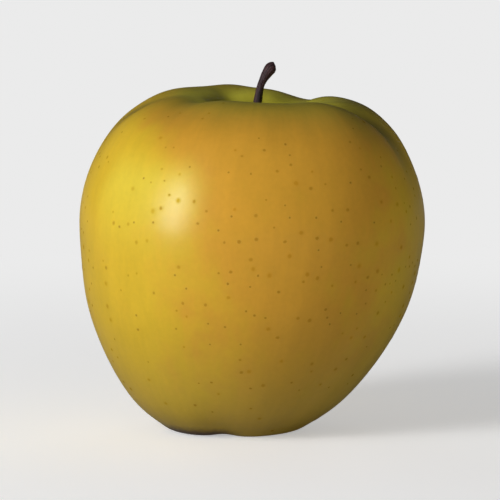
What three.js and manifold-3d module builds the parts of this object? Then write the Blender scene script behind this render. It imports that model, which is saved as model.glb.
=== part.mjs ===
// A golden delicious apple as picked, standing on the ribs of its blossom end.
// Millimetres, +Z up along the core, origin on the table under the middle of the fruit.
// Three pieces that differ on the real fruit: the flesh with its skin, the woody stalk, the dried calyx.

import * as THREE from "three";
import { mergeVertices } from "three/addons/utils/BufferGeometryUtils.js";
import Module from "manifold-3d";

const wasm = await Module();
wasm.setup();

// Driving sizes
const WIDEST = 38.2; // radius of the fruit at its widest
const TALL = 75; // table to the crest of the shoulders
const FOOT_LEAN = -3.9; // sideways shift of the core at the table
const FOOT_LEAN_ENDS = 46; // height where that shift has died out
const HEAD_LEAN = 2.0; // sideways shift of the core at the shoulders
const SHOULDER_TILT = -0.059; // one shoulder stands higher than the other: rise over run
const CLEAR = 0.3; // gap between pieces that grew together

// The skin from the stalk's root over the shoulder and down to the calyx:
// [share of WIDEST, share of TALL, furrow depth in mm]
const SKIN = [
  [0.0, 0.787, 0.0], // floor of the stalk's hollow
  [0.04, 0.795, 0.0],
  [0.1, 0.827, 0.15],
  [0.215, 0.897, 0.7], // wall of the hollow
  [0.29, 0.963, 1.6],
  [0.403, 0.984, 2.4],
  [0.518, 0.987, 2.8], // crest of the shoulder
  [0.659, 0.962, 2.4],
  [0.819, 0.895, 1.6],
  [0.943, 0.78, 0.8],
  [1.002, 0.65, 0.4], // widest
  [0.984, 0.498, 0.3],
  [0.928, 0.361, 0.4], // flank, narrowing in a cone
  [0.8, 0.218, 0.9],
  [0.626, 0.094, 1.3],
  [0.48, 0.031, 1.5],
  [0.334, -0.007, 1.6], // crest of the crown it stands on
  [0.24, 0.016, 1.5],
  [0.16, 0.06, 0.7], // wall of the basin
  [0.094, 0.094, 0.1],
  [0.04, 0.104, 0.0],
  [0.0, 0.106, 0.0], // floor of the basin
];

// Furrows between the ribs, each with its azimuth and its strength
// [in the hollow, over the shoulder, at the crown, in the basin], and its half width; degrees.
// A strength below zero is a swelling, as on the rib beside the last furrow.
const FURROWS = [
  { azimuth: [56, 60, 34, 34], strength: [1.1, 0.25, 0.9, 1.0], halfWidth: 16 },
  { azimuth: [126, 100, 106, 106], strength: [0.8, -0.8, 1.0, 1.1], halfWidth: 15 },
  { azimuth: [186, 181, 170, 178], strength: [0.0, 0.8, 0.05, 0.9], halfWidth: 17 },
  { azimuth: [214, 224, 260, 252], strength: [0.65, 0.35, 0.65, 1.0], halfWidth: 17 },
  { azimuth: [313, 313, 313, 313], strength: [-0.1, -0.45, 0.0, 0.0], halfWidth: 18 },
  { azimuth: [306, 348, 320, 322], strength: [1.1, 1.05, 0.0, 0.9], halfWidth: 12 },
];
// Where along the skin those four places lie, as shares of the way from stalk to calyx
const HOLLOW_ENDS = 0.1;
const SHOULDER_STARTS = 0.28;
const SHOULDER_ENDS = 0.36;
const CROWN_STARTS = 0.85;
const CROWN_ENDS = 0.885;
const BASIN_STARTS = 0.93;

const SKIN_ROWS = 56;
const SKIN_SIDES = 72;

// The stalk from its buried root to its club end: [sideways, up, half thickness], mm
const STALK = [
  [0.0, 0.0, 1.25],
  [0.1, 5.0, 1.15],
  [0.45, 11.0, 1.0],
  [1.05, 16.6, 0.94],
  [1.7, 20.2, 0.8], // thinnest
  [2.3, 21.6, 0.88],
  [3.1, 23.0, 1.13],
  [3.6, 23.7, 1.26],
  [4.05, 24.2, 1.27], // club
  [4.55, 24.5, 1.1],
  [5.0, 24.65, 0.8], // where it broke off the twig
];
const STALK_ROOT = 55.8; // height of its buried end
const STALK_BACK = 0.002; // how fast it also leans backwards: mm per squared mm of height
const STALK_SIDES = 14;
const STALK_ROWS = 40;

// The calyx: five dried sepals on a short cup at the floor of the basin
const SEPALS = 5;
const CUP_RADIUS = 2.1;
const CUP_DEPTH = 3.4; // buried part of the cup
const CUP_RISE = 1.1; // part that shows
const SEPAL_LENGTH = 5.6;
const SEPAL_HALF_WIDTH = 1.25;
const SEPAL_HALF_THICKNESS = 0.38;
const SEPAL_ROWS = 10;
const SEPAL_SIDES = 10;

const degrees = THREE.MathUtils.degToRad;
const smooth = THREE.MathUtils.smoothstep;

// Closed mesh from rings of points that run from one end to the other, with a point at each end.
function closedRings(start, rings, end) {
  const sides = rings[0].length;
  const points = [start, ...rings.flat(), end];
  const at = (row, side) => 1 + row * sides + (side % sides);
  const faces = [];
  for (let side = 0; side < sides; side++) {
    faces.push(0, at(0, side), at(0, side + 1));
    for (let row = 0; row < rings.length - 1; row++) {
      const corners = [at(row, side), at(row + 1, side), at(row + 1, side + 1), at(row, side + 1)];
      faces.push(corners[0], corners[1], corners[2], corners[0], corners[2], corners[3]);
    }
    faces.push(points.length - 1, at(rings.length - 1, side + 1), at(rings.length - 1, side));
  }
  const geometry = new THREE.BufferGeometry().setFromPoints(points);
  geometry.setIndex(faces);
  return geometry;
}

// A tapering limb along a line: an oval section of half sizes sizeAt(share), its broad way along `across`.
function limb(line, across, rows, sides, sizeAt) {
  const rings = [];
  for (let row = 0; row <= rows; row++) {
    const share = row / rows;
    const centre = line.getPoint(share);
    const along = line.getTangent(share);
    const thick = new THREE.Vector3().crossVectors(along, across).normalize();
    const broad = new THREE.Vector3().crossVectors(thick, along).normalize();
    const [halfBroad, halfThick] = sizeAt(share);
    const ring = [];
    for (let side = 0; side < sides; side++) {
      const turn = (2 * Math.PI * side) / sides;
      ring.push(
        centre
          .clone()
          .addScaledVector(broad, halfBroad * Math.cos(turn))
          .addScaledVector(thick, halfThick * Math.sin(turn)),
      );
    }
    rings.push(ring);
  }
  return closedRings(line.getPoint(0), rings, line.getPoint(1));
}

// A closed geometry as a solid, turned to face outwards.
function solid(geometry) {
  const bare = geometry.clone();
  bare.deleteAttribute("normal");
  bare.deleteAttribute("uv");
  const merged = mergeVertices(bare, 1e-4);
  const build = (triVerts) =>
    new wasm.Manifold(
      new wasm.Mesh({ numProp: 3, vertProperties: merged.attributes.position.array, triVerts }),
    );
  const faces = new Uint32Array(merged.index.array);
  const made = build(faces);
  return made.volume() > 0 ? made : build(faces.reverse());
}

function geometryOf(made) {
  const mesh = made.getMesh();
  return new THREE.BufferGeometry()
    .setAttribute("position", new THREE.BufferAttribute(new Float32Array(mesh.vertProperties), 3))
    .setIndex(new THREE.BufferAttribute(new Uint32Array(mesh.triVerts), 1));
}

// How far the core has swung sideways at height z.
function coreLean(z) {
  const foot = 1 - THREE.MathUtils.clamp(z / FOOT_LEAN_ENDS, 0, 1);
  const head = THREE.MathUtils.clamp((z - FOOT_LEAN_ENDS) / (TALL - FOOT_LEAN_ENDS), 0, 1);
  return FOOT_LEAN * foot ** 1.6 + HEAD_LEAN * head ** 2;
}

// One of a furrow's four values, carried over smoothly along the skin.
function between([hollow, shoulder, crown, basin], along) {
  const over = (shoulder - hollow) * smooth(along, HOLLOW_ENDS, SHOULDER_STARTS);
  const down = (crown - shoulder) * smooth(along, SHOULDER_ENDS, CROWN_STARTS);
  const under = (basin - crown) * smooth(along, CROWN_ENDS, BASIN_STARTS);
  return hollow + over + down + under;
}

// How deep the furrows cut at this azimuth, as a share of the depth in SKIN.
function furrowShare(turn, along) {
  let sum = 0;
  for (const { azimuth, strength, halfWidth } of FURROWS) {
    const middle = degrees(between(azimuth, along));
    const off = THREE.MathUtils.euclideanModulo(turn - middle + Math.PI, 2 * Math.PI) - Math.PI;
    sum += between(strength, along) * Math.exp(-((off / degrees(halfWidth)) ** 2));
  }
  return sum;
}

const skinLine = new THREE.CatmullRomCurve3(
  SKIN.map(([r, z, furrow]) => new THREE.Vector3(r * WIDEST, z * TALL, furrow)),
  false,
  "centripetal",
);

// A point of the skin; the furrows press it in along its own normal, and the crown rests flat on the table.
function skinPoint(along, azimuth) {
  const { x: radius, y: height, z: depth } = skinLine.getPointAt(along);
  const way = skinLine.getTangentAt(along);
  const run = Math.hypot(way.x, way.y);
  const press = depth * furrowShare(azimuth, along);
  const r = radius + (press * way.y) / run;
  const h = height - (press * way.x) / run;
  const x = r * Math.cos(azimuth) + coreLean(h);
  const y = r * Math.sin(azimuth);
  const tilt = SHOULDER_TILT * x * smooth(h, 40, 70);
  return new THREE.Vector3(x, y, Math.max(h + tilt, 0));
}

function flesh() {
  const rings = [];
  for (let row = 1; row < SKIN_ROWS; row++) {
    const ring = [];
    for (let side = 0; side < SKIN_SIDES; side++)
      ring.push(skinPoint(row / SKIN_ROWS, (2 * Math.PI * side) / SKIN_SIDES));
    rings.push(ring);
  }
  return solid(closedRings(skinPoint(0, 0), rings, skinPoint(1, 0)));
}

// A plain round hole for a root, from height low to high, around the line x = across.
function socket(radius, low, high, across) {
  const hole = new THREE.CylinderGeometry(radius, radius, high - low, 24);
  hole.rotateX(Math.PI / 2);
  hole.translate(across, 0, (low + high) / 2);
  return solid(hole);
}

const stalkFoot = new THREE.Vector3(coreLean(STALK_ROOT), 0, STALK_ROOT);

function stalk() {
  const through = (place) => new THREE.CatmullRomCurve3(STALK.map(place), false, "centripetal");
  const line = through(([side, up]) => new THREE.Vector3(side, STALK_BACK * up ** 2, up));
  const thickness = through(([side, up, half]) => new THREE.Vector3(side, up, half));
  const wood = limb(line, new THREE.Vector3(0, 1, 0), STALK_ROWS, STALK_SIDES, (share) => {
    const half = thickness.getPoint(share).z;
    return [half * 0.94, half];
  });
  return geometryOf(solid(wood));
}

const basinFloor = skinPoint(1, 0);

function calyx() {
  const cup = new THREE.CylinderGeometry(
    CUP_RADIUS,
    CUP_RADIUS * 0.8,
    CUP_DEPTH + CUP_RISE,
    20,
  );
  cup.rotateX(-Math.PI / 2);
  cup.translate(0, 0, (CUP_DEPTH - CUP_RISE) / 2);
  let made = solid(cup);
  for (let n = 0; n < SEPALS; n++) {
    const turn = degrees(18 + (360 / SEPALS) * n);
    const out = new THREE.Vector3(Math.cos(turn), Math.sin(turn), 0);
    const place = (radius, drop) => out.clone().multiplyScalar(radius).setZ(-drop);
    const line = new THREE.CatmullRomCurve3([
      place(CUP_RADIUS * 0.62, -0.8),
      place(CUP_RADIUS * 0.8, 0.7),
      place(CUP_RADIUS * 0.86, SEPAL_LENGTH * 0.38),
      place(CUP_RADIUS * 1.25, SEPAL_LENGTH * 0.68),
      place(CUP_RADIUS * 2.0, SEPAL_LENGTH * 0.8),
    ]);
    const across = new THREE.Vector3(-out.y, out.x, 0);
    const blade = limb(line, across, SEPAL_ROWS, SEPAL_SIDES, (share) => [
      SEPAL_HALF_WIDTH * Math.sqrt(1.03 - share) * (0.82 + 0.5 * share),
      SEPAL_HALF_THICKNESS,
    ]);
    made = made.add(solid(blade));
  }
  return geometryOf(made);
}

function material(colour, roughness) {
  return new THREE.MeshStandardMaterial({ color: colour, roughness, metalness: 0 });
}

function piece(name, geometry, finish) {
  const mesh = new THREE.Mesh(geometry, finish);
  mesh.name = name;
  return mesh;
}

const apple = new THREE.Group();

const stalkSocket = socket(STALK[0][2] + CLEAR, STALK_ROOT - CLEAR, TALL * 0.82, stalkFoot.x);
const calyxSocket = socket(
  CUP_RADIUS + CLEAR,
  0,
  basinFloor.z + CUP_DEPTH + CLEAR,
  basinFloor.x,
);
const fruit = flesh().subtract(stalkSocket).subtract(calyxSocket);
apple.add(piece("fruit", geometryOf(fruit), material(0xe0b83a, 0.38)));

const stem = piece("stalk", stalk(), material(0x3a2226, 0.75));
stem.position.copy(stalkFoot);
apple.add(stem);

const blossomEnd = piece("calyx", calyx(), material(0x5b4a34, 0.9));
blossomEnd.position.copy(basinFloor);
apple.add(blossomEnd);

export default apple;
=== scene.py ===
# %% [markdown]
# # A golden delicious apple
# The fruit stands on the knobs of its blossom end, with its stalk leaning away from the light.
# Three things make it look like itself: five soft ribs that run from the stalk's hollow to the
# crown, a waxy skin whose colour drifts from yellow to gold to green, and a sprinkling of small
# brown pores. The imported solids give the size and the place. Each of them is replaced here by a
# finer skin, made by the same rule, so nothing has to be fitted by eye.

import math

import bpy
import numpy as np
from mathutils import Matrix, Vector


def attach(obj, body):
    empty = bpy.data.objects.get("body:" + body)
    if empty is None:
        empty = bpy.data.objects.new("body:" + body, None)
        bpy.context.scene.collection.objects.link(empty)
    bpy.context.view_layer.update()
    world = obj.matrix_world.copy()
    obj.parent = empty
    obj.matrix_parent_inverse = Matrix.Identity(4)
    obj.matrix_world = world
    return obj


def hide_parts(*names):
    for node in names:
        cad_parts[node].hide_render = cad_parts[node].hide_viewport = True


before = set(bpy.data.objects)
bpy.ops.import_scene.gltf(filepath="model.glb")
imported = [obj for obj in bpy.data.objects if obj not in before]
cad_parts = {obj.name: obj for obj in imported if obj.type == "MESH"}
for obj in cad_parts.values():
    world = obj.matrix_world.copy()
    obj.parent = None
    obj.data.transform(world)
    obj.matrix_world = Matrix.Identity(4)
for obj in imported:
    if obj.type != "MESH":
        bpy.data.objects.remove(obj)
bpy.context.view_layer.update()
MM = 0.001
scene = bpy.context.scene


print("nodes", sorted(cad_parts))

# %% [markdown]
# ## The camera
# The far rim of the hollow shows just above the near one, so the eye is a little above the
# shoulder. The outline hardly narrows with distance, which asks for a long lens some way off:
# nine tenths of a metre and about 290 mm. The camera looks along +Y.

# %% Camera
CAMERA_AWAY = 0.9
CAMERA_RISE = math.radians(7.3)
CAMERA_LENS = 292.5
CAMERA_FILM = 36
NEAREST_SEEN = 0.02
LOOKS_AT = Vector((-0.41 * MM, 0, 39.65 * MM))

camera = bpy.data.objects.new("camera", bpy.data.cameras.new("camera"))
camera.data.lens = CAMERA_LENS
camera.data.sensor_width = CAMERA_FILM
camera.data.clip_start = NEAREST_SEEN
backwards = Vector((0, -math.cos(CAMERA_RISE), math.sin(CAMERA_RISE)))
camera.location = LOOKS_AT + backwards * CAMERA_AWAY
camera.rotation_euler = backwards.to_track_quat("Z", "Y").to_euler()
scene.collection.objects.link(camera)
scene.camera = camera
print("camera at", [round(v, 3) for v in camera.location])

# %% [markdown]
# ## Sums made of nodes
# A rule in Geometry Nodes or in a material is arithmetic, and dozens of Math nodes hide it well.
# A small wrapper round a node's output lets Python's own signs make those nodes, so that the rule
# can be read as it would be written on paper. `feed` fills a socket with a number or with a wire.

# %% Helpers for node trees


def feed(socket, value):
    """Links a wire to a socket, or sets the socket to a plain value."""
    if isinstance(value, Wire):
        socket.id_data.links.new(value.socket, socket)
    else:
        socket.default_value = value


class Wire:
    """A node's output that takes part in sums."""

    def __init__(self, socket):
        self.socket = socket
        self.tree = socket.id_data

    def sum(self, operation, *others, clamp=False):
        made = self.tree.nodes.new("ShaderNodeMath")
        made.operation = operation
        made.use_clamp = clamp
        for place, value in zip(made.inputs, (self, *others)):
            feed(place, value)
        return Wire(made.outputs[0])

    def __add__(self, other):
        return self.sum("ADD", other)

    def __sub__(self, other):
        return self.sum("SUBTRACT", other)

    def __mul__(self, other):
        return self.sum("MULTIPLY", other)

    def __truediv__(self, other):
        return self.sum("DIVIDE", other)

    def __pow__(self, other):
        return self.sum("POWER", other)

    def clamped(self):
        return self.sum("ADD", 0, clamp=True)

    __radd__ = __add__
    __rmul__ = __mul__


def add(tree, kind, inputs=None, **settings):
    """A new node with its settings, and with its inputs filled by name or by place."""
    made = tree.nodes.new(kind)
    for name, value in settings.items():
        setattr(made, name, value)
    for key, value in (inputs or {}).items():
        feed(made.inputs[key], value)
    return made


def out(node, key=0):
    return Wire(node.outputs[key])


def smooth(value, low, high):
    """0 below low, 1 above high, and an easy slope between."""
    made = add(
        value.tree,
        "ShaderNodeMapRange",
        {"Value": value, "From Min": low, "From Max": high},
        interpolation_type="SMOOTHSTEP",
    )
    return out(made)


def fade(value, low, high):
    """1 below low, 0 above high, and an easy slope between."""
    return smooth(value, low, high) * -1 + 1


def split(vector):
    made = add(vector.tree, "ShaderNodeSeparateXYZ", {0: vector})
    return out(made, 0), out(made, 1), out(made, 2)


def join(tree, x, y, z):
    return out(add(tree, "ShaderNodeCombineXYZ", {0: x, 1: y, 2: z}))


def vector_sum(operation, *vectors):
    inputs = dict(enumerate(vectors))
    return out(add(vectors[0].tree, "ShaderNodeVectorMath", inputs, operation=operation))


def scaled(vector, factor):
    made = add(vector.tree, "ShaderNodeVectorMath", {0: vector}, operation="SCALE")
    feed(made.inputs["Scale"], factor)
    return out(made)


def length(vector):
    made = add(vector.tree, "ShaderNodeVectorMath", {0: vector}, operation="LENGTH")
    return out(made, "Value")


print("helpers ready")

# %% [markdown]
# ## Rules and what they grow
# A Geometry Nodes tree is kept here as a rule with named inputs. `grow` runs the rule on a small
# source mesh, takes the result as a plain mesh and throws the source away, so that the finished
# piece holds nothing live: its object lies at the origin and its place is in its mesh.

# %% Helpers for growing pieces


def new_rule(name, inputs):
    """An empty Geometry Nodes tree with named inputs, and its input wires by name."""
    tree = bpy.data.node_groups.new(name, "GeometryNodeTree")
    for label, kind in inputs.items():
        tree.interface.new_socket(label, in_out="INPUT", socket_type=f"NodeSocket{kind}")
    tree.interface.new_socket("Geometry", in_out="OUTPUT", socket_type="NodeSocketGeometry")
    entry = tree.nodes.new("NodeGroupInput")
    return tree, {label: out(entry, label) for label in inputs}


def end_rule(tree, geometry, finish):
    """Ends a rule in Realize Instances and Set Material."""
    rounded = add(tree, "GeometryNodeSetShadeSmooth", {"Geometry": geometry})
    real = add(tree, "GeometryNodeRealizeInstances", {"Geometry": out(rounded)})
    dressed = add(tree, "GeometryNodeSetMaterial", {"Geometry": out(real), "Material": finish})
    add(tree, "NodeGroupOutput", {"Geometry": out(dressed)})


def grow(name, source, tree, values):
    """Runs a rule on a source mesh and hands back the plain piece that it makes."""
    seed = bpy.data.objects.new(name + "_source", source)
    scene.collection.objects.link(seed)
    rule = seed.modifiers.new("rule", "NODES")
    rule.node_group = tree
    for item in tree.interface.items_tree:
        if item.item_type == "SOCKET" and item.in_out == "INPUT" and item.name in values:
            rule[item.identifier] = values[item.name]
    depsgraph = bpy.context.evaluated_depsgraph_get()
    mesh = bpy.data.meshes.new_from_object(
        seed.evaluated_get(depsgraph), preserve_all_data_layers=True, depsgraph=depsgraph
    )
    seed.modifiers.remove(rule)
    bpy.data.objects.remove(seed)
    mesh.name = name
    piece = bpy.data.objects.new(name, mesh)
    scene.collection.objects.link(piece)
    triangles = sum(len(p.vertices) - 2 for p in mesh.polygons)
    print(name, len(mesh.vertices), "points,", triangles, "triangles")
    return piece


def line_mesh(name, points, **attributes):
    """A chain of points, with vector attributes, for a rule to follow."""
    mesh = bpy.data.meshes.new(name)
    mesh.from_pydata([tuple(p) for p in points], [(i, i + 1) for i in range(len(points) - 1)], [])
    for label, rows in attributes.items():
        layer = mesh.attributes.new(label, "FLOAT_VECTOR", "POINT")
        layer.data.foreach_set("vector", np.asarray(rows, dtype=np.float32).ravel())
    return mesh


def through(stations, steps=24):
    """A smooth line through stations of any width: a centripetal Catmull-Rom spline."""
    rows = np.asarray(stations, dtype=float)
    rows = np.vstack([2 * rows[0] - rows[1], rows, 2 * rows[-1] - rows[-2]])
    pieces = []
    for before, start, end, after in zip(rows, rows[1:], rows[2:], rows[3:]):
        gap_in, gap, gap_out = (
            np.linalg.norm(step) ** 0.5 for step in (start - before, end - start, after - end)
        )
        leave = (start - before) / gap_in - (end - before) / (gap_in + gap) + (end - start) / gap
        arrive = (end - start) / gap - (after - start) / (gap + gap_out) + (after - end) / gap_out
        t = np.linspace(0, 1, steps, endpoint=False)[:, None]
        pieces.append(
            start * (2 * t**3 - 3 * t**2 + 1)
            + end * (3 * t**2 - 2 * t**3)
            + leave * gap * (t**3 - 2 * t**2 + t)
            + arrive * gap * (t**3 - t**2)
        )
    return np.vstack([*pieces, rows[-2:-1]])


print("growing tools ready")

# %% [markdown]
# ## The skin's colour
# On the real fruit the ground colour is a warm yellow. The side that hung in the sun has turned to
# gold, a little right of the middle, and the shaded parts stay green: the shoulders, the crown and,
# palest of all, the hollow, whose wall is lightened further by painted light. The left cheek has a
# lemon patch, made paler round its highlight as a painted sheen. The furrows are darkened where
# they leave the hollow, a painted shade, and a painted contact shadow darkens one knob of the crown
# where it meets the table. The brightness is also painted light and shade: the cheeks are lighter
# than the shoulders, and the lower half and the crown's underside are darker. Fine streaks run down
# the meridians, because the skin stretched that way as it grew. The zones could be painted on a
# picture, but then the picture needs a seam. Here each zone is a rule on two attributes of the
# mesh: meridian holds a unit circle and the way down from the stalk, and furrow says how deep in a
# furrow a point lies.

# %% Noises and blends


def noise(tree, place, scale, detail=2.0, roughness=0.5):
    made = add(tree, "ShaderNodeTexNoise", {"Vector": place, "Scale": scale, "Detail": detail})
    feed(made.inputs["Roughness"], roughness)
    return out(made)


def uneven(wave, amount):
    """A noise as a push to either side of nothing."""
    return (wave - 0.5) * amount


def blend(tree, factor, first, second, way="MIX"):
    made = add(tree, "ShaderNodeMix", data_type="RGBA", blend_type=way, clamp_factor=True)
    feed(made.inputs[0], factor)
    feed(made.inputs[6], first)
    feed(made.inputs[7], second)
    return out(made, 2)


def here(tree):
    """The place on the piece, in metres."""
    return out(add(tree, "ShaderNodeTexCoord"), "Object")


def stored(tree, name, part="Fac"):
    """What a rule has stored on the mesh under this name."""
    return out(add(tree, "ShaderNodeAttribute", attribute_name=name), part)


print("noises and blends ready")

# %% What the colour of a spot depends on
# azimuths as seen from above, with 0 to the right and 270 towards the camera
SUNNY_SIDE = math.radians(287)
# the lemon patch's side; its paleness is partly a painted sheen round the highlight
LEMON_SHEEN_SIDE = math.radians(229)
SHADED_SIDE = math.radians(345)
# the side where a painted contact shadow darkens the knob that meets the table
CONTACT_SHADOW_SIDE = math.radians(236)
FULL_SUN = (0.85, 1.0)
# waves in a metre
DRIFT_WAVES, PATCH_WAVES, FRECKLE_WAVES = 38.0, 130.0, 900.0
# close together round the core and long on the way down
STREAK_WAVES, STREAK_ROUND, STREAK_DOWN = 3.0, 3.6, 3.0


class SkinSpot:
    """Wires for the sides, the way down, the furrows and the unevenness of the skin."""

    def __init__(self, tree):
        place = here(tree)
        _, _, self.height = split(place)
        self.east, self.north, self.down = split(stored(tree, "meridian", "Vector"))
        self.furrow = stored(tree, "furrow")
        self.sunward = self.towards(SUNNY_SIDE)
        self.shaded = self.towards(SHADED_SIDE)
        self.facing = smooth(self.sunward, *FULL_SUN)
        self.drift = noise(tree, place, DRIFT_WAVES)
        self.patches = noise(tree, place, PATCH_WAVES, 3.0)
        self.freckle = noise(tree, place, FRECKLE_WAVES)
        round_core = self.east * STREAK_ROUND, self.north * STREAK_ROUND
        fibres = join(tree, *round_core, self.down * STREAK_DOWN)
        self.streaks = noise(tree, fibres, STREAK_WAVES, 4.0, 0.62)

    def towards(self, side):
        """1 on the meridian at this azimuth and -1 on the one across from it."""
        return self.east * math.cos(side) + self.north * math.sin(side)


print("sunny side at", round(math.degrees(SUNNY_SIDE)), "degrees, the camera at 270")

# %% The yellow ground with its lemon, gold and amber
# lemon, made paler than the cheek's own colour as a painted sheen round the highlight
LEMON_SHEEN = (0.82, 0.62, 0.055, 1)
YELLOW = (0.79, 0.52, 0.034, 1)
GOLD = (0.705, 0.362, 0.036, 1)
AMBER = (0.60, 0.28, 0.034, 1)
# where a zone begins and where it is full, as shares of the way down or towards its side
LEMON_SHEEN_HEAD, LEMON_SHEEN_FOOT, LEMON_SHEEN_EDGE = (0.32, 0.39), (0.38, 0.52), (0.91, 0.98)
GOLD_HEAD, GOLD_EDGE, GOLD_SHADE = (0.18, 0.26), (0.46, 0.92), (0.3, 0.9)
GOLD_LEVEL, GOLD_NARROWS = 0.3, 0.35
GOLD_TOP, GOLD_SPREADS = 0.37, 2.4
AMBER_EDGE, AMBER_SHARE, AMBER_LIKES_GOLD = (0.5, 0.8), 0.14, 0.1
SHADE_LOSS, LEMON_SHEEN_WINS = 0.03, 0.9


def ground_colour(tree, at):
    """Yellow, with lemon on the left cheek made paler by a painted sheen round its highlight, gold
    towards the sun and a few amber patches.
    """
    # the lemon patch, partly the cheek's own colour and partly a painted sheen
    lemon_and_sheen = smooth(at.towards(LEMON_SHEEN_SIDE) + uneven(at.drift, 0.12), *LEMON_SHEEN_EDGE)
    lemon_and_sheen = lemon_and_sheen * smooth(at.down, *LEMON_SHEEN_HEAD) * fade(at.down, *LEMON_SHEEN_FOOT)
    colour = blend(tree, lemon_and_sheen, YELLOW, LEMON_SHEEN)

    gold = at.sunward - (at.down - GOLD_LEVEL) * GOLD_NARROWS
    away_from_shade = at.shaded * -1 + 1
    gold = gold + (at.down * -1 + GOLD_TOP).clamped() * away_from_shade * GOLD_SPREADS
    gold = gold + uneven(at.drift, 0.3) + uneven(at.patches, 0.5) + uneven(at.streaks, 0.3)
    gold = smooth(gold - smooth(at.shaded, *GOLD_SHADE) * SHADE_LOSS, *GOLD_EDGE)
    gold = gold * smooth(at.down, *GOLD_HEAD) * (lemon_and_sheen * -LEMON_SHEEN_WINS + 1)
    colour = blend(tree, gold, colour, GOLD)
    amber = smooth(at.patches + gold * AMBER_LIKES_GOLD, *AMBER_EDGE) * AMBER_SHARE
    return blend(tree, amber, colour, AMBER)


print("ground runs from", LEMON_SHEEN[:3], "to", GOLD[:3])

# %% The green and the brown zones
LEAF_GREEN = (0.42, 0.36, 0.046, 1)
# the hollow's own pale green, lightened further as a painted light on its far wall
PALE_GREEN_AND_LIGHT = (0.62, 0.56, 0.052, 1)
OLIVE = (0.50, 0.345, 0.050, 1)
RUSSET = (0.34, 0.20, 0.075, 1)
# painted shade for the furrows where they leave the hollow
PAINTED_FURROW_SHADE = (0.24, 0.19, 0.035, 1)
# nearly black: a painted contact shadow where the knob meets the table
CONTACT_SHADOW_BROWN = (0.07, 0.035, 0.03, 1)
# where a zone begins and where it is full, as shares of the way down
STEM_END, HOLLOW, SHOULDERS = (0.03, 0.13), (0.15, 0.21), (0.16, 0.31)
FURROW_HEAD, FURROW_FOOT = (0.17, 0.21), (0.24, 0.4)
CROWN, BLOSSOM_END = (0.56, 0.86), (0.93, 0.99)
FURROW_DEEP = (0.35, 1.0)
CONTACT_SHADOW_EDGE, CONTACT_SHADOW_HEIGHT = (0.72, 0.92), (0.5 * MM, 2.9 * MM)
# how far the sun and the shade move the green top and the crown, as shares of the way down
TOP_IN_SUN, TOP_IN_SHADE, CROWN_IN_SHADE = 0.02, 0.035, 0.03
# how much of the ground each zone hides
LEAF_SHARE, FURROW_SHADE_SHARE, CROWN_SHARE = 0.95, 0.85, 0.85
BLOSSOM_SHARE, CONTACT_SHADOW_SHARE = 0.8, 0.92


def zone_colour(tree, at, colour):
    """Lays the green top, painted shade in the furrows, olive crown, russet ends and a painted
    contact shadow on one knob on a colour.
    """
    top = at.down + at.facing * TOP_IN_SUN + uneven(at.streaks, 0.04)
    top = top - at.shaded * TOP_IN_SHADE
    colour = blend(tree, fade(top, *SHOULDERS) * LEAF_SHARE, colour, LEAF_GREEN)
    # painted shade: the furrows just below the hollow are darkened
    furrow_shade = smooth(at.furrow, *FURROW_DEEP) * smooth(at.down, *FURROW_HEAD)
    furrow_shade = furrow_shade * fade(at.down, *FURROW_FOOT)
    colour = blend(tree, furrow_shade * FURROW_SHADE_SHARE, colour, PAINTED_FURROW_SHADE)
    # the hollow: pale green, partly its own colour and partly painted light
    colour = blend(tree, fade(at.down, *HOLLOW), colour, PALE_GREEN_AND_LIGHT)
    crown = at.down + uneven(at.patches, 0.08) + at.shaded * CROWN_IN_SHADE
    crown = smooth(crown, *CROWN)
    colour = blend(tree, crown * CROWN_SHARE, colour, OLIVE)
    stem_end = fade(at.down + uneven(at.patches, 0.10), *STEM_END)
    blossom_end = smooth(at.down + uneven(at.patches, 0.04), *BLOSSOM_END)
    colour = blend(tree, stem_end + blossom_end * BLOSSOM_SHARE, colour, RUSSET)
    # painted contact shadow on the knob that meets the table, a few millimetres high
    toward_contact_shadow = smooth(at.towards(CONTACT_SHADOW_SIDE) + uneven(at.patches, 0.15), *CONTACT_SHADOW_EDGE)
    painted_contact_shadow = fade(at.height + uneven(at.freckle, 1 * MM), *CONTACT_SHADOW_HEIGHT) * toward_contact_shadow
    return blend(tree, painted_contact_shadow * CONTACT_SHADOW_SHARE, colour, CONTACT_SHADOW_BROWN)


print("rubbed knob dark up to", round(CONTACT_SHADOW_HEIGHT[1] / MM, 1), "mm")

# %% How bright the skin is, in painted light and shade
# where each zone lies on the way down, and the painted light or painted shade it adds to the
# brightness
BRIGHTNESS = 0.8
CHEEK_ZONE, CHEEK_PAINTED_LIGHT, CHEEK_IN_SUN = (0.21, 0.38), 0.18, 0.04
LOWER_ZONE, LOWER_PAINTED_SHADE = (0.42, 0.66), 0.10
KNOB_ZONE, KNOB_PAINTED_SHADE = (0.77, 0.88), 0.18
# painted light on the hollow's wall and painted shade deep in its floor
HOLLOW_PAINTED_LIGHT = 0.2
HOLLOW_FLOOR, HOLLOW_FLOOR_PAINTED_SHADE = (0.105, 0.15), 0.38


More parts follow.
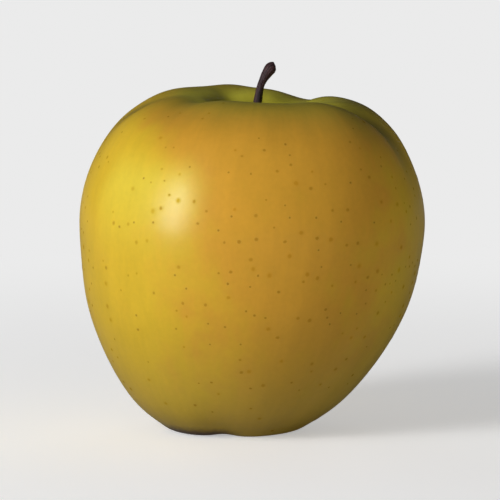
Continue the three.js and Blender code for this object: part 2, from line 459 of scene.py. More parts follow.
def skin_colour(tree):
    """The skin's base colour and the patches in it, with painted light and shade, as wires."""
    at = SkinSpot(tree)
    colour = zone_colour(tree, at, ground_colour(tree, at))
    # painted light and shade: cheeks lighter than the shoulders, the lower half and the crown's
    # underside darker
    bright = smooth(at.down + at.facing * CHEEK_IN_SUN, *CHEEK_ZONE) * CHEEK_PAINTED_LIGHT
    bright = bright - smooth(at.down, *LOWER_ZONE) * LOWER_PAINTED_SHADE + BRIGHTNESS
    bright = bright - smooth(at.down, *KNOB_ZONE) * KNOB_PAINTED_SHADE
    # painted light on the hollow's wall, then painted shade deeper down
    bright = bright + fade(at.down, *HOLLOW) * HOLLOW_PAINTED_LIGHT
    bright = bright - fade(at.down, *HOLLOW_FLOOR) * HOLLOW_FLOOR_PAINTED_SHADE
    mottle = uneven(at.streaks, 0.22) + uneven(at.patches, 0.20) + uneven(at.freckle, 0.10) + 1
    tone = add(tree, "ShaderNodeHueSaturation", {"Color": colour, "Value": mottle * bright})
    return out(tone), at.patches


print("cheeks", round(BRIGHTNESS + CHEEK_PAINTED_LIGHT, 2), "bright")
print("rim of the hollow", BRIGHTNESS + HOLLOW_PAINTED_LIGHT, "bright")

# %% Skin finish


def new_material(name):
    made = bpy.data.materials.new(name)
    made.use_nodes = True
    made.node_tree.nodes.clear()
    return made, made.node_tree


def finish_material(tree, colour, roughness, bump=None, bump_depth=0.0, **sockets):
    """A Principled surface with these inputs; constants sit on the shader's own sockets."""
    shader = add(tree, "ShaderNodeBsdfPrincipled", {"Base Color": colour, "Roughness": roughness})
    for name, value in sockets.items():
        feed(shader.inputs[name.replace("_", " ")], value)
    if bump is not None:
        relief = add(tree, "ShaderNodeBump", {"Height": bump, "Distance": bump_depth})
        feed(relief.inputs["Strength"], 1.0)
        feed(shader.inputs["Normal"], out(relief))
    add(tree, "ShaderNodeOutputMaterial", {"Surface": out(shader)})


SKIN_ROUGH, PATCH_ROUGHER = 0.27, 0.08
GRAIN_WAVES, GRAIN_SHARE, SWELL_WAVES = 1500.0, 0.02, 90.0
SKIN_RELIEF = 0.12 * MM

skin_finish, skin_tree = new_material("waxy_skin")
skin_base, skin_patches = skin_colour(skin_tree)
skin_place = here(skin_tree)
skin_grain = noise(skin_tree, skin_place, GRAIN_WAVES)
skin_swell = noise(skin_tree, skin_place, SWELL_WAVES)
finish_material(
    skin_tree,
    skin_base,
    roughness=skin_patches * PATCH_ROUGHER + SKIN_ROUGH,
    bump=skin_grain * GRAIN_SHARE + skin_swell,
    bump_depth=SKIN_RELIEF,
    Specular_IOR_Level=0.27,
    Coat_Weight=0.03,
    Coat_Roughness=0.3,
)
print("skin finish has", len(skin_tree.nodes), "nodes")

# %% [markdown]
# ## The skin's shape
# The section from stalk to calyx is one line through named stations, each with the depth that the
# furrows reach there. The rule turns that line round the core and presses it in along its own
# normal in five furrows. A strength below nothing swells it out instead, and a sixth row is
# only such a swelling. The core leans one way at the table and the other at the shoulders, and
# the crown's knobs are flat where they touch the table. The line and the furrows are the ones of
# the solid, with closer rings. Only the rims of the flats differ: a smooth maximum rounds them
# by a seventh of a millimetre, as soft flesh would, where the solid has an edge.

# %% The skin's section and its furrows
WIDEST = 38.2 * MM
TALL = 75 * MM
FOOT_LEAN = -3.9 * MM
FOOT_LEAN_ENDS = 46 * MM
FOOT_LEAN_POWER = 1.6
HEAD_LEAN = 2.0 * MM
HEAD_LEAN_POWER = 2
SHOULDER_TILT = -0.059
TILT_STARTS, TILT_FULL = 40 * MM, 70 * MM

# share of WIDEST, furrow depth in mm, share of TALL
SECTION = [
    (0.0, 0.0, 0.787),
    (0.04, 0.0, 0.795),
    (0.1, 0.15, 0.827),
    (0.215, 0.7, 0.897),
    (0.29, 1.6, 0.963),
    (0.403, 2.4, 0.984),
    (0.518, 2.8, 0.987),
    (0.659, 2.4, 0.962),
    (0.819, 1.6, 0.895),
    (0.943, 0.8, 0.78),
    (1.002, 0.4, 0.65),
    (0.984, 0.3, 0.498),
    (0.928, 0.4, 0.361),
    (0.8, 0.9, 0.218),
    (0.626, 1.3, 0.094),
    (0.48, 1.5, 0.031),
    (0.334, 1.6, -0.007),
    (0.24, 1.5, 0.016),
    (0.16, 0.7, 0.06),
    (0.094, 0.1, 0.094),
    (0.04, 0.0, 0.104),
    (0.0, 0.0, 0.106),
]
# azimuth and strength in the hollow, over the shoulder, at the crown, in the basin; half width
FURROWS = [
    ((56, 60, 34, 34), (1.1, 0.25, 0.9, 1.0), 16),
    ((126, 100, 106, 106), (0.8, -0.8, 1.0, 1.1), 15),
    ((186, 181, 170, 178), (0.0, 0.8, 0.05, 0.9), 17),
    ((214, 224, 260, 252), (0.65, 0.35, 0.65, 1.0), 17),
    ((313, 313, 313, 313), (-0.1, -0.45, 0.0, 0.0), 18),
    ((306, 348, 320, 322), (1.1, 1.05, 0.0, 0.9), 12),
]
HOLLOW_ENDS, SHOULDER_STARTS = 0.1, 0.28
SHOULDER_ENDS, CROWN_STARTS = 0.36, 0.85
CROWN_ENDS, BASIN_STARTS = 0.885, 0.93

section = through([(r * WIDEST, depth * MM, z * TALL) for r, depth, z in SECTION])
print("section of", len(section), "points, highest", round(section[:, 2].max() / MM, 2), "mm")

# %% Sheets that a rule rolls up
# points nearer than this become one, on the skin and on the finer limbs
WELD = 0.001 * MM
FINE_WELD = 0.0005 * MM


def sheet_to_roll(tree, steps, sides):
    """A flat sheet, with each point's share of the way along it and its turn round it."""
    sheet = add(
        tree,
        "GeometryNodeMeshGrid",
        {"Size X": 1.0, "Size Y": 1.0, "Vertices X": steps, "Vertices Y": sides},
    )
    along, across, _ = split(out(add(tree, "GeometryNodeInputPosition")))
    return out(sheet), along + 0.5, (across + 0.5) * (2 * math.pi)


def store(tree, geometry, name, value, kind="FLOAT"):
    """Keeps a value on the points, under a name that the finish or another rule can read."""
    made = add(
        tree,
        "GeometryNodeStoreNamedAttribute",
        {"Geometry": geometry, "Name": name, "Value": value},
        data_type=kind,
        domain="POINT",
    )
    return out(made)


def rolled(tree, sheet, place, weld):
    """The sheet's points at their places, with the seam and the two ends welded shut."""
    shaped = add(tree, "GeometryNodeSetPosition", {"Geometry": sheet, "Position": place})
    closed = add(tree, "GeometryNodeMergeByDistance", {"Geometry": out(shaped), "Distance": weld})
    return out(closed)


print("rolling tools ready, skin welded within", WELD / MM, "mm")

# %% The rule that turns the section into a skin
FLAT_ROUNDING = 0.8 * MM


def skin_rule():
    tree, given = new_rule(
        "Ribbed skin",
        {
            "Geometry": "Geometry",
            "Rings": "Int",
            "Sides": "Int",
            "Foot lean": "Float",
            "Head lean": "Float",
            "Shoulder tilt": "Float",
            "Material": "Material",
        },
    )
    sheet, down, turn = sheet_to_roll(tree, given["Rings"], given["Sides"])
    line = add(tree, "GeometryNodeMeshToCurve", {"Mesh": given["Geometry"]})
    probe = add(tree, "GeometryNodeSampleCurve", {"Curves": out(line)}, mode="FACTOR")
    feed(probe.inputs["Factor"], down)
    radius, depth, height = split(out(probe, "Position"))
    way_out, _, way_up = split(out(probe, "Tangent"))
    run = (way_out * way_out + way_up * way_up).sum("SQRT")

    over = smooth(down, HOLLOW_ENDS, SHOULDER_STARTS)
    under = smooth(down, SHOULDER_ENDS, CROWN_STARTS)
    inside = smooth(down, CROWN_ENDS, BASIN_STARTS)

    def between(hollow, shoulder, crown, basin):
        outer = over * (shoulder - hollow) + under * (crown - shoulder)
        return outer + inside * (basin - crown) + hollow

    share = None
    for azimuth, strength, half_width in FURROWS:
        middle = between(*(math.radians(a) for a in azimuth))
        off = (turn - middle).sum("WRAP", math.pi, -math.pi) / math.radians(half_width)
        furrow = (off * off * -1).sum("EXPONENT") * between(*strength)
        share = furrow if share is None else share + furrow

    press = depth * share / run
    reach = radius + press * way_up
    level = height - press * way_out
    foot = (level / -FOOT_LEAN_ENDS + 1).clamped() ** FOOT_LEAN_POWER
    head = (level - FOOT_LEAN_ENDS) / (TALL - FOOT_LEAN_ENDS)
    head = head.clamped() ** HEAD_LEAN_POWER
    east, north = turn.sum("COSINE"), turn.sum("SINE")
    x = reach * east + foot * given["Foot lean"] + head * given["Head lean"]
    tilt = given["Shoulder tilt"] * x * smooth(level, TILT_STARTS, TILT_FULL)
    z = (level + tilt).sum("SMOOTH_MAX", 0, FLAT_ROUNDING)

    kept = store(tree, sheet, "meridian", join(tree, east, north, down), "FLOAT_VECTOR")
    kept = store(tree, kept, "furrow", share.clamped())
    closed = rolled(tree, kept, join(tree, x, reach * north, z), WELD)
    end_rule(tree, closed, given["Material"])
    return tree


skin = grow(
    "skin",
    line_mesh("section", section),
    skin_rule(),
    {
        "Rings": 261,
        "Sides": 257,
        "Foot lean": FOOT_LEAN,
        "Head lean": HEAD_LEAN,
        "Shoulder tilt": SHOULDER_TILT,
        "Material": skin_finish,
    },
)


def volume(mesh):
    """Signed volume: above zero where the faces point outwards."""
    mesh.calc_loop_triangles()
    corners = np.empty(len(mesh.vertices) * 3)
    mesh.vertices.foreach_get("co", corners)
    corners = corners.reshape(-1, 3)
    faces = np.array([t.vertices[:] for t in mesh.loop_triangles])
    a, b, c = (corners[faces[:, i]] for i in range(3))
    return float((a * np.cross(b, c)).sum() / 6)


print("skin holds", round(volume(skin.data) * 1e6, 1), "cubic centimetres")

# %% [markdown]
# ## The floor and the light
# The photograph's ground is an even pale grey, so the floor shows that grey to the camera and keeps
# only a soft shadow of the fruit. It is clear from below and stops no light, so that the crown can
# be looked at from under it. A tall soft box stands to the left and a little in front: it gives the
# upright highlight on the left cheek. A wider one above it lights the shoulders, and a low strip at
# the front lifts the brown shade on the right. Two boxes on the far side and a small one underneath
# keep the back and the crown readable. Only the first box shows as a highlight. The world is dim
# for the fruit's sake and pale for the camera's.

# %% Floor
WHITE, BLACK = (1, 1, 1, 1), (0, 0, 0, 1)
PALE = 0.83
PAPER_GREY, BOUNCE_GREY = (0.80, 0.80, 0.80, 1), (0.36, 0.36, 0.36, 1)
NEAR_GLOW = 0.5
# metres from the middle between which lit paper gives way to an even glow
SHADOW_FADES = (0.06, 0.30)
FLOOR_RADIUS, FLOOR_CORNERS = 4, 64

floor_finish, floor_tree = new_material("pale_floor")
floor_far = smooth(length(here(floor_tree)), *SHADOW_FADES)
seen = out(add(floor_tree, "ShaderNodeLightPath"), "Is Camera Ray")
glow = add(floor_tree, "ShaderNodeEmission", {"Color": WHITE})
feed(glow.inputs["Strength"], seen * PALE * (floor_far * (1 - NEAR_GLOW) + NEAR_GLOW))
floor_grey = blend(floor_tree, seen, BOUNCE_GREY, PAPER_GREY)
floor_grey = blend(floor_tree, floor_far * seen, floor_grey, BLACK)
matt = add(floor_tree, "ShaderNodeBsdfDiffuse", {"Color": floor_grey})
lit = add(floor_tree, "ShaderNodeAddShader", {0: out(glow), 1: out(matt)})
clear = add(floor_tree, "ShaderNodeBsdfTransparent")
backside = out(add(floor_tree, "ShaderNodeNewGeometry"), "Backfacing")
floor_mix = add(floor_tree, "ShaderNodeMixShader", {0: backside, 1: out(lit), 2: out(clear)})
add(floor_tree, "ShaderNodeOutputMaterial", {"Surface": out(floor_mix)})

corners = [2 * math.pi * i / FLOOR_CORNERS for i in range(FLOOR_CORNERS)]
floor_rim = [(FLOOR_RADIUS * math.cos(a), FLOOR_RADIUS * math.sin(a), 0) for a in corners]
floor_mesh = bpy.data.meshes.new("floor")
floor_mesh.from_pydata(floor_rim, [], [tuple(range(FLOOR_CORNERS))])
floor_mesh.materials.append(floor_finish)
floor = bpy.data.objects.new("floor", floor_mesh)
scene.collection.objects.link(floor)
floor.visible_shadow = False
print("floor reaches", FLOOR_RADIUS, "m from the fruit")

# %% World
DIM = 0.08
MIRRORED_LESS = 0.05

world = bpy.data.worlds.new("studio")
world.use_nodes = True
world.node_tree.nodes.clear()
sky = add(world.node_tree, "ShaderNodeBackground", {"Color": WHITE})
ray = add(world.node_tree, "ShaderNodeLightPath")
for_camera = out(ray, "Is Camera Ray") * (PALE - DIM)
feed(sky.inputs["Strength"], for_camera - out(ray, "Is Glossy Ray") * MIRRORED_LESS + DIM)
add(world.node_tree, "ShaderNodeOutputWorld", {"Surface": out(sky)})
scene.world = world
scene.view_settings.view_transform = "Standard"
print("world", DIM, "bright for the fruit and", PALE, "for the camera")

# %% Soft boxes


def soft_box(name, azimuth, rise, away, width, height, power, mirrored=False):
    """An oval area light that looks at the middle of the fruit."""
    lamp = bpy.data.lights.new(name, "AREA")
    lamp.shape = "ELLIPSE"
    lamp.size = width
    lamp.size_y = height
    lamp.energy = power
    made = bpy.data.objects.new(name, lamp)
    a, e = math.radians(azimuth), math.radians(rise)
    way = Vector((math.cos(a) * math.cos(e), math.sin(a) * math.cos(e), math.sin(e)))
    made.location = LOOKS_AT + way * away
    made.rotation_euler = way.to_track_quat("Z", "Y").to_euler()
    made.visible_glossy = mirrored
    made.visible_camera = False
    scene.collection.objects.link(made)


# azimuth and rise in degrees; distance, width and height in metres; power in watts
soft_box("key", 216.5, 14, 1.0, 0.28, 0.58, 6.0, mirrored=True)
soft_box("high_key", 218, 32, 1.2, 0.6, 0.6, 3.4)
soft_box("low_fill", 295, -4, 0.45, 0.5, 0.06, 0.53)
soft_box("back_left", 118, 8, 1.2, 0.6, 0.6, 2.6)
soft_box("back_right", 70, 10, 1.2, 0.6, 0.6, 2.4)
soft_box("under", 0, -90, 0.08, 0.08, 0.08, 0.008)

# %% [markdown]
# ## The lenticels
# The skin's pores show as small brown specks, half a millimetre to one millimetre wide. They keep
# their distance from each other, and there are fewer on the shoulders and at the crown. They could
# be dots of a texture, but a scatter gives each its own size and tone and tells how many there are.
# Each one is a very flat closed lens that lies on the skin, with the middle of its underside
# sunk in. Its rim has the skin's own colour and nearly its gloss, so that only the speck is
# seen and no edge.

# %% Lenticel finish
RING_YELLOW = (0.9, 0.75, 0.2, 1)
# what the skin's colour is multiplied by in the faintest and in the darkest speck
FAINT_SPECK, DARK_SPECK = (0.91, 0.83, 0.48, 1), (0.58, 0.44, 0.13, 1)
RING_EDGE, RING_SHARE = (0.05, 0.3), 0.15
SPECK_EDGE = (0.08, 0.8)
FRAY_WAVES, FRAY = 2600.0, 0.35
RIM_ROUGH, SPECK_ROUGHER = 0.3, 0.4

speck_finish, speck_tree = new_material("lenticels")
speck_base, _ = skin_colour(speck_tree)
speck_tone = stored(speck_tree, "tone")
fray = uneven(noise(speck_tree, here(speck_tree), FRAY_WAVES), FRAY)
inward = stored(speck_tree, "spot") + fray
ring = smooth(inward, *RING_EDGE) * speck_tone * RING_SHARE
speck_base = blend(speck_tree, ring, speck_base, RING_YELLOW)
speck_brown = blend(speck_tree, speck_tone, FAINT_SPECK, DARK_SPECK)
speck_depth = smooth(inward, *SPECK_EDGE)
speck_dark = blend(speck_tree, speck_depth, speck_base, speck_brown, "MULTIPLY")
speck_rough = speck_depth * SPECK_ROUGHER + RIM_ROUGH
finish_material(speck_tree, speck_dark, speck_rough, Specular_IOR_Level=0.2)
print("lenticel finish has", len(speck_tree.nodes), "nodes")

# %% A lens for each lenticel
LENS_SIDES = 12
# in shares of the lens's radius
LENS_TOP, LENS_BOTTOM, LENS_LIFT = 0.035, -0.05, 0.03


def chance(tree, seed, low, high):
    """A number of its own between low and high for each point."""
    made = add(tree, "FunctionNodeRandomValue", {2: low, 3: high, "Seed": seed}, data_type="FLOAT")
    return out(made, 1)


def lens(tree):
    """A flat closed lens of radius 1 that knows how far inwards each of its points lies."""
    disc = add(
        tree,
        "GeometryNodeMeshCircle",
        {"Vertices": LENS_SIDES, "Radius": 1.0},
        fill_type="TRIANGLE_FAN",
    )
    inwards = length(out(add(tree, "GeometryNodeInputPosition"))) * -1 + 1
    marked = store(tree, out(disc), "spot", inwards)

    def bulged(height):
        lift = join(tree, 0.0, 0.0, inwards * height + LENS_LIFT)
        return out(add(tree, "GeometryNodeSetPosition", {"Geometry": marked, "Offset": lift}))

    underside = add(tree, "GeometryNodeFlipFaces", {"Mesh": bulged(LENS_BOTTOM)})
    both = add(tree, "GeometryNodeJoinGeometry")
    feed(both.inputs["Geometry"], bulged(LENS_TOP))
    feed(both.inputs["Geometry"], out(underside))
    return out(both)


print("a lens has", 2 * LENS_SIDES, "triangles")

# %% The rule that scatters them
# where the cheeks and the crown begin on the way down, and how crowded it is on the shoulders
# and on the crown beside the cheeks
CHEEKS_BEGIN, ON_SHOULDERS = (0.2, 0.42), 0.15
CROWN_BEGINS, ON_CROWN = (0.6, 0.78), 0.3
# heights over the table
BARE_FOOT = (0.8 * MM, 3 * MM)
# 0 is a faint speck and 1 or more a dark one; the biggest lose this share of their tone
FAINTEST, DARKEST, BIG_FAINTER = 0.2, 1.5, 0.6
OVAL = (0.8, 1.1)


def lenticel_rule():
    tree, given = new_rule(
        "Lenticels",
        {
            "Geometry": "Geometry",
            "Most in a square metre": "Float",
            "Nearest": "Float",
            "Smallest": "Float",
            "Largest": "Float",
            "Seed": "Int",
            "Material": "Material",
        },
    )
    meridian = add(tree, "GeometryNodeInputNamedAttribute", data_type="FLOAT_VECTOR")
    feed(meridian.inputs["Name"], "meridian")
    _, _, down = split(out(meridian, "Attribute"))
    _, _, above = split(out(add(tree, "GeometryNodeInputPosition")))
    crowd = smooth(down, *CHEEKS_BEGIN) * (1 - ON_SHOULDERS) + ON_SHOULDERS
    crowd = crowd - smooth(down, *CROWN_BEGINS) * (1 - ON_CROWN)
    crowd = crowd * smooth(above, *BARE_FOOT)
    scatter = add(
        tree,
        "GeometryNodeDistributePointsOnFaces",
        {
            "Mesh": given["Geometry"],
            "Distance Min": given["Nearest"],
            "Density Max": given["Most in a square metre"],
            "Density Factor": crowd,
            "Seed": given["Seed"],
        },
        distribute_method="POISSON",
    )
    spread = chance(tree, given["Seed"] + 2, 0.0, 1.0)
    tone = chance(tree, given["Seed"] + 1, FAINTEST, DARKEST) * (spread * -BIG_FAINTER + 1)
    toned = store(tree, out(scatter), "tone", tone)
    size = (given["Largest"] - given["Smallest"]) * spread**2 + given["Smallest"]
    breadth = size * chance(tree, given["Seed"] + 3, *OVAL)
    instances = add(
        tree,
        "GeometryNodeInstanceOnPoints",
        {
            "Points": toned,
            "Instance": lens(tree),
            "Rotation": out(scatter, "Rotation"),
            "Scale": join(tree, size, breadth, size),
        },
    )
    end_rule(tree, out(instances), given["Material"])
    return tree


lenticels = grow(
    "lenticels",
    skin.data,
    lenticel_rule(),
    {
        "Most in a square metre": 45000.0,
        "Nearest": 1.6 * MM,
        "Smallest": 0.42 * MM,
        "Largest": 0.92 * MM,
        "Seed": 11,
        "Material": speck_finish,
    },
)
print("lenticels:", len(lenticels.data.polygons) // (2 * LENS_SIDES))

# %% [markdown]
# ## Limbs: the stalk, the sepals and the stamens
# A stalk, a sepal and a stamen are the same kind of thing: an oval section that follows a line and
# swells and thins on the way. One rule makes them all. It reads the line's points and the half
# sizes stored on them, wraps a sheet round the line, and sets as many copies in a ring as asked.
# Grooves are part of the shape: a noise that is stretched along the limb presses them in.

# %% The rule for limbs
# how far a copy may turn, in radians, and differ in size, where Unlike is 1
TURN_UNLIKE, SIZE_UNLIKE = 0.35, 0.2


def limb_rule():
    tree, given = new_rule(
        "Limb",
        {
            "Geometry": "Geometry",
            "Steps": "Int",
            "Sides": "Int",
            "Grooves": "Float",
            "Groove depth": "Float",
            "Groove stretch": "Float",
            "Copies": "Int",
            "Unlike": "Float",
            "Foot": "Vector",
            "Seed": "Int",
            "Material": "Material",
        },
    )
    sheet, share, turn = sheet_to_roll(tree, given["Steps"], given["Sides"])
    line = add(tree, "GeometryNodeMeshToCurve", {"Mesh": given["Geometry"]})
    halves = add(tree, "GeometryNodeInputNamedAttribute", data_type="FLOAT_VECTOR")
    feed(halves.inputs["Name"], "half")
    probe = add(
        tree,
        "GeometryNodeSampleCurve",
        {"Curves": out(line)},
        mode="FACTOR",
        data_type="FLOAT_VECTOR",
    )
    feed(probe.inputs["Value"], out(halves, "Attribute"))
    feed(probe.inputs["Factor"], share)
    broad_half, thick_half, _ = split(out(probe, "Value"))
    tangent = out(probe, "Tangent")
    sideways = join(tree, 0.0, 1.0, 0.0)
    thick_way = vector_sum("NORMALIZE", vector_sum("CROSS_PRODUCT", tangent, sideways))
    broad_way = vector_sum("CROSS_PRODUCT", thick_way, tangent)

    east, north = turn.sum("COSINE"), turn.sum("SINE")
    stretched = join(tree, east, north, share * given["Groove stretch"])
    swell = uneven(noise(tree, stretched, given["Grooves"], 4.0), given["Groove depth"]) + 1
    broad = scaled(broad_way, broad_half * east * swell)
    thick = scaled(thick_way, thick_half * north * swell)
    body = vector_sum("ADD", broad, thick)

    kept = store(tree, sheet, "grain", join(tree, east, north, share), "FLOAT_VECTOR")
    closed = rolled(tree, kept, vector_sum("ADD", out(probe, "Position"), body), FINE_WELD)
    limb = add(tree, "GeometryNodeFlipFaces", {"Mesh": closed})

    ring = add(tree, "GeometryNodeMeshLine", {"Count": given["Copies"], "Offset": (0, 0, 0)})
    count = out(add(tree, "GeometryNodeInputIndex"))
    off_turn = chance(tree, given["Seed"] + 1, -TURN_UNLIKE, TURN_UNLIKE) * given["Unlike"]
    spin = count * (2 * math.pi) / given["Copies"] + off_turn
    size = chance(tree, given["Seed"] + 2, -SIZE_UNLIKE, SIZE_UNLIKE) * given["Unlike"] + 1
    copies = add(
        tree,
        "GeometryNodeInstanceOnPoints",
        {"Points": out(ring), "Instance": out(limb), "Scale": join(tree, size, size, size)},
    )
    feed(copies.inputs["Rotation"], join(tree, 0.0, 0.0, spin))
    placed = add(tree, "GeometryNodeTransform", {"Geometry": out(copies)})
    feed(placed.inputs["Translation"], given["Foot"])
    end_rule(tree, out(placed), given["Material"])
    return tree


limbs = limb_rule()
print("limb rule has", len(limbs.nodes), "nodes")

# %% The line that a limb follows
CAP_STEP = 0.1


def capped(stations, steps=24):
    """A smooth limb's line and half sizes, closed by a point just past each end."""
    rows = through(stations, steps)
    first, last = rows[0].copy(), rows[-1].copy()
    first[:3] -= (rows[1][:3] - rows[0][:3]) * CAP_STEP
    last[:3] += (rows[-1][:3] - rows[-2][:3]) * CAP_STEP
    first[3:] = 0
    last[3:] = 0
    rows = np.vstack([first, rows, last]) * MM
    halves = np.column_stack([rows[:, 3], rows[:, 4], np.zeros(len(rows))])
    return line_mesh("limb", rows[:, :3], half=halves)


print("limbs end", CAP_STEP, "of a step past their last station")

# %% [markdown]
# ## The stalk
# The stalk rises from the hollow, bends to the right near its top and ends in a blunt club, where
# it broke off the twig. It is nearly black with a purple cast, dull, and grooved along its length.
# A cylinder could be bent and pinched into this, but a line whose stations each hold a thickness
# is easier to hold against the photograph, and each station can be corrected alone.

# %% Bark
BARK_VALLEY, BARK_RIDGE = (0.012, 0.005, 0.006, 1), (0.085, 0.036, 0.042, 1)
BARK_DUST = (0.12, 0.07, 0.065, 1)
BARK_WAVES, BARK_STRETCH, DUST_WAVES = 5.0, 1.6, 1400.0
RIDGE_EDGE = (0.35, 0.68)
DUST_EDGE, DUST_SHARE = (0.55, 0.8), 0.4

bark_finish, bark_tree = new_material("stalk_bark")
bark_east, bark_north, bark_up = split(stored(bark_tree, "grain", "Vector"))
bark_grain = join(bark_tree, bark_east, bark_north, bark_up * BARK_STRETCH)
bark_lines = noise(bark_tree, bark_grain, BARK_WAVES, 5.0, 0.65)
bark_colour = blend(bark_tree, smooth(bark_lines, *RIDGE_EDGE), BARK_VALLEY, BARK_RIDGE)
bark_dust = smooth(noise(bark_tree, here(bark_tree), DUST_WAVES, 3.0), *DUST_EDGE)
bark_colour = blend(bark_tree, bark_dust * DUST_SHARE, bark_colour, BARK_DUST)
finish_material(
    bark_tree, bark_colour, roughness=0.62, bump=bark_lines, bump_depth=0.15 * MM
)
print("bark finish has", len(bark_tree.nodes), "nodes")

# %% Stalk
STALK_ROOT = 55.8 * MM
# sideways, back, up, half thickness across, half thickness in the plane of the bend; mm
STALK = [
    (0.0, 0.0, 0.0, 1.2, 1.25),
    (0.1, 0.05, 5.0, 1.1, 1.15),
    (0.45, 0.24, 11.0, 0.95, 1.0),
    (1.05, 0.55, 16.6, 0.9, 0.94),
    (1.7, 0.82, 20.2, 0.77, 0.8),
    (2.3, 0.93, 21.6, 0.85, 0.88),
    (3.1, 1.06, 23.0, 1.05, 1.13),
    (3.6, 1.12, 23.7, 1.18, 1.26),
    (4.05, 1.17, 24.2, 1.18, 1.27),
    (4.55, 1.2, 24.5, 1.02, 1.1),
    (5.0, 1.22, 24.65, 0.74, 0.8),
]

root_share = (STALK_ROOT - FOOT_LEAN_ENDS) / (TALL - FOOT_LEAN_ENDS)
stalk_foot = (HEAD_LEAN * root_share**HEAD_LEAN_POWER, 0.0, STALK_ROOT)

stalk_bark = grow(
    "stalk_bark",
    capped(STALK),
    limbs,
    {
        "Steps": 181,
        "Sides": 57,
        "Grooves": 3.2,
        "Groove depth": 0.34,
        "Groove stretch": 3.0,
        "Copies": 1,
        "Unlike": 0.0,
        "Foot": stalk_foot,
        "Seed": 3,
        "Material": bark_finish,
    },
)
print("stalk holds", round(volume(stalk_bark.data) * 1e9, 2), "cubic millimetres")

# %% [markdown]
# ## The calyx
# Under the fruit, in its basin, the flower's five sepals have dried to brown points that close over
# the withered stamens and turn their tips out. The photograph doesn't show it, but the fruit is
# seen from below too. The same limb rule makes the sepals, the stamens and the cup.

# %% Calyx finish
DRY_DARK, DRY_PALE = (0.085, 0.052, 0.028, 1), (0.23, 0.165, 0.095, 1)
DRY_TIP = (0.06, 0.036, 0.022, 1)
BLOTCH_WAVES, BLOTCH_EDGE, VEIN_WAVES = 700.0, (0.3, 0.7), 6.0
TIP_EDGE, TIP_SHARE = (0.6, 1.0), 0.6

dry_finish, dry_tree = new_material("dried_calyx")
dry_grain = stored(dry_tree, "grain", "Vector")
_, _, dry_share = split(dry_grain)
dry_blotch = smooth(noise(dry_tree, here(dry_tree), BLOTCH_WAVES, 4.0, 0.6), *BLOTCH_EDGE)
dry_colour = blend(dry_tree, dry_blotch, DRY_DARK, DRY_PALE)
dry_tip = smooth(dry_share, *TIP_EDGE) * TIP_SHARE
dry_colour = blend(dry_tree, dry_tip, dry_colour, DRY_TIP)
dry_veins = noise(dry_tree, dry_grain, VEIN_WAVES, 3.0)
finish_material(dry_tree, dry_colour, roughness=0.85, bump=dry_veins, bump_depth=0.2 * MM)
print("calyx finish has", len(dry_tree.nodes), "nodes")

# %% Sepals
basin_floor = section[-1][2]
basin_lean = FOOT_LEAN * (1 - basin_floor / FOOT_LEAN_ENDS) ** FOOT_LEAN_POWER
calyx_foot = (basin_lean, 0.0, basin_floor)
# half the cup's width in mm
CUP = 2.1
# outwards, sideways, up, half width, half thickness; mm
SEPAL = [
    (CUP * 0.62, 0, 0.8, 0.9, 0.35),
    (CUP * 0.8, 0, -0.7, 1.25, 0.36),
    (CUP * 0.86, 0, -2.1, 1.2, 0.34),
    (CUP * 1.1, 0, -3.2, 0.95, 0.31),
    (CUP * 1.5, 0, -4.0, 0.62, 0.26),
    (CUP * 1.95, 0, -4.45, 0.22, 0.14),
]

sepals = grow(
    "sepals",
    capped(SEPAL),
    limbs,
    {
        "Steps": 61,
        "Sides": 41,
        "Grooves": 2.6,
        "Groove depth": 0.55,
        "Groove stretch": 2.5,
        "Copies": 5,
        "Unlike": 0.5,
        "Foot": calyx_foot,
        "Seed": 5,
        "Material": dry_finish,
    },
)
print("sepals hold", round(volume(sepals.data) * 1e9, 2), "cubic millimetres")

# %% Cup and stamens
CUP_WALL = [
    (0.0, 0, 3.4, 1.6, 1.6),
    (0.0, 0, 1.5, 2.0, 2.0),
    (0.0, 0, 0.2, 2.1, 2.1),
    (0.0, 0, -0.7, 1.75, 1.75),
    (0.0, 0, -1.1, 1.0, 1.0),
]
STAMEN = [
    (0.9, 0, 0.2, 0.10, 0.10),
    (1.15, 0, -1.4, 0.08, 0.08),
    (1.3, 0, -2.7, 0.07, 0.07),
    (1.1, 0, -3.5, 0.14, 0.12),
    (0.9, 0, -3.9, 0.16, 0.13),
    (0.8, 0, -4.2, 0.06, 0.05),
]
STAMENS = 17

calyx_cup = grow(
    "calyx_cup",
    capped(CUP_WALL),
    limbs,
    {
        "Steps": 41,
        "Sides": 49,
        "Grooves": 4.0,
        "Groove depth": 0.2,
        "Groove stretch": 2.0,
        "Copies": 1,
        "Unlike": 0.0,
        "Foot": calyx_foot,
        "Seed": 6,
        "Material": dry_finish,
    },
)
stamens = grow(
    "stamens",
    capped(STAMEN, 8),
    limbs,
    {
        "Steps": 31,
        "Sides": 9,
        "Grooves": 3.0,
        "Groove depth": 0.3,
        "Groove stretch": 4.0,
        "Copies": STAMENS,
        "Unlike": 1.0,
        "Foot": calyx_foot,
        "Seed": 7,
        "Material": dry_finish,
    },
)
print("cup and", STAMENS, "stamens, all standing on", round(basin_floor / MM, 2), "mm")

# %% [markdown]
# ## Down on the sepals
# Dried sepals keep a felt of short pale hairs. Each hair is a thin cone, scattered over the sepals
# and tilted at random, so that the basin looks dry and woolly and not like moulded plastic.

# %% Down finish
DOWN_DARK, DOWN_PALE = (0.42, 0.34, 0.22, 1), (0.66, 0.58, 0.42, 1)
TUFT_WAVES = 500.0

hair_finish, hair_tree = new_material("pale_down")
tufts = noise(hair_tree, here(hair_tree), TUFT_WAVES)
hair_colour = blend(hair_tree, tufts, DOWN_DARK, DOWN_PALE)
finish_material(hair_tree, hair_colour, roughness=0.8)
print("down finish has", len(hair_tree.nodes), "nodes")

# %% Hairs
HAIR_SIDES = 4
# the tip's share of the thickness at the root
HAIR_POINT = 0.15
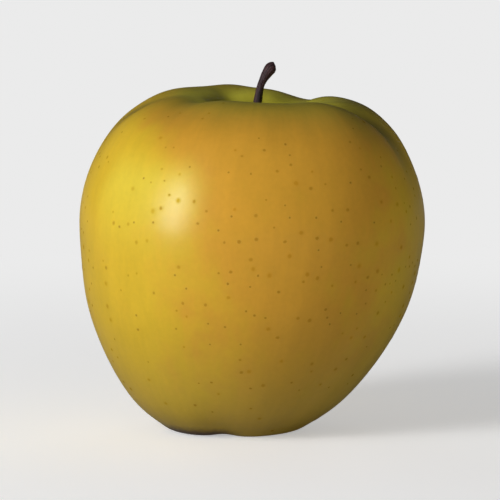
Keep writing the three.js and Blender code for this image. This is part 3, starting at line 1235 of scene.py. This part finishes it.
# radians
HAIR_LEAN, HAIR_TURN = 0.9, 3.0
SHORTEST, LONGEST = 0.5, 1.2


def down_rule():
    tree, given = new_rule(
        "Down",
        {
            "Geometry": "Geometry",
            "Hairs in a square metre": "Float",
            "Length": "Float",
            "Thickness": "Float",
            "Seed": "Int",
            "Material": "Material",
        },
    )
    seed, thickness = given["Seed"], given["Thickness"]
    scatter = add(tree, "GeometryNodeDistributePointsOnFaces", {"Mesh": given["Geometry"]})
    feed(scatter.inputs["Density"], given["Hairs in a square metre"])
    feed(scatter.inputs["Seed"], seed)
    hair = add(
        tree,
        "GeometryNodeMeshCone",
        {
            "Vertices": HAIR_SIDES,
            "Side Segments": 1,
            "Radius Top": HAIR_POINT,
            "Radius Bottom": 1.0,
            "Depth": 1.0,
        },
    )
    lean_x = chance(tree, seed + 1, -HAIR_LEAN, HAIR_LEAN)
    lean_y = chance(tree, seed + 2, -HAIR_LEAN, HAIR_LEAN)
    turn = chance(tree, seed + 3, 0.0, HAIR_TURN)
    lean = add(tree, "FunctionNodeEulerToRotation", {"Euler": join(tree, lean_x, lean_y, turn)})
    tilt = add(
        tree,
        "FunctionNodeRotateRotation",
        {"Rotation": out(scatter, "Rotation"), "Rotate By": out(lean)},
        rotation_space="LOCAL",
    )
    long = given["Length"] * chance(tree, seed + 4, SHORTEST, LONGEST)
    instances = add(
        tree,
        "GeometryNodeInstanceOnPoints",
        {
            "Points": out(scatter),
            "Instance": out(hair, "Mesh"),
            "Rotation": out(tilt),
            "Scale": join(tree, thickness, thickness, long),
        },
    )
    end_rule(tree, out(instances), given["Material"])
    return tree


calyx_down = grow(
    "calyx_down",
    sepals.data,
    down_rule(),
    {
        "Hairs in a square metre": 5.5e6,
        "Length": 0.7 * MM,
        "Thickness": 0.022 * MM,
        "Seed": 9,
        "Material": hair_finish,
    },
)
print("hairs:", len(calyx_down.data.vertices) // (2 * HAIR_SIDES))

# %% [markdown]
# ## Fixing the pieces to the frame
# The whole apple is one rigid body, so every piece rides on the root. The finer pieces stand for
# the three solids, which stay in the physics.

# %% Ride and replace
for piece in (skin, lenticels, stalk_bark, sepals, calyx_cup, stamens, calyx_down):
    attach(piece, "root")
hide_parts("fruit")
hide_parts("stalk")
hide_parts("calyx")
print("seven pieces ride on the root")
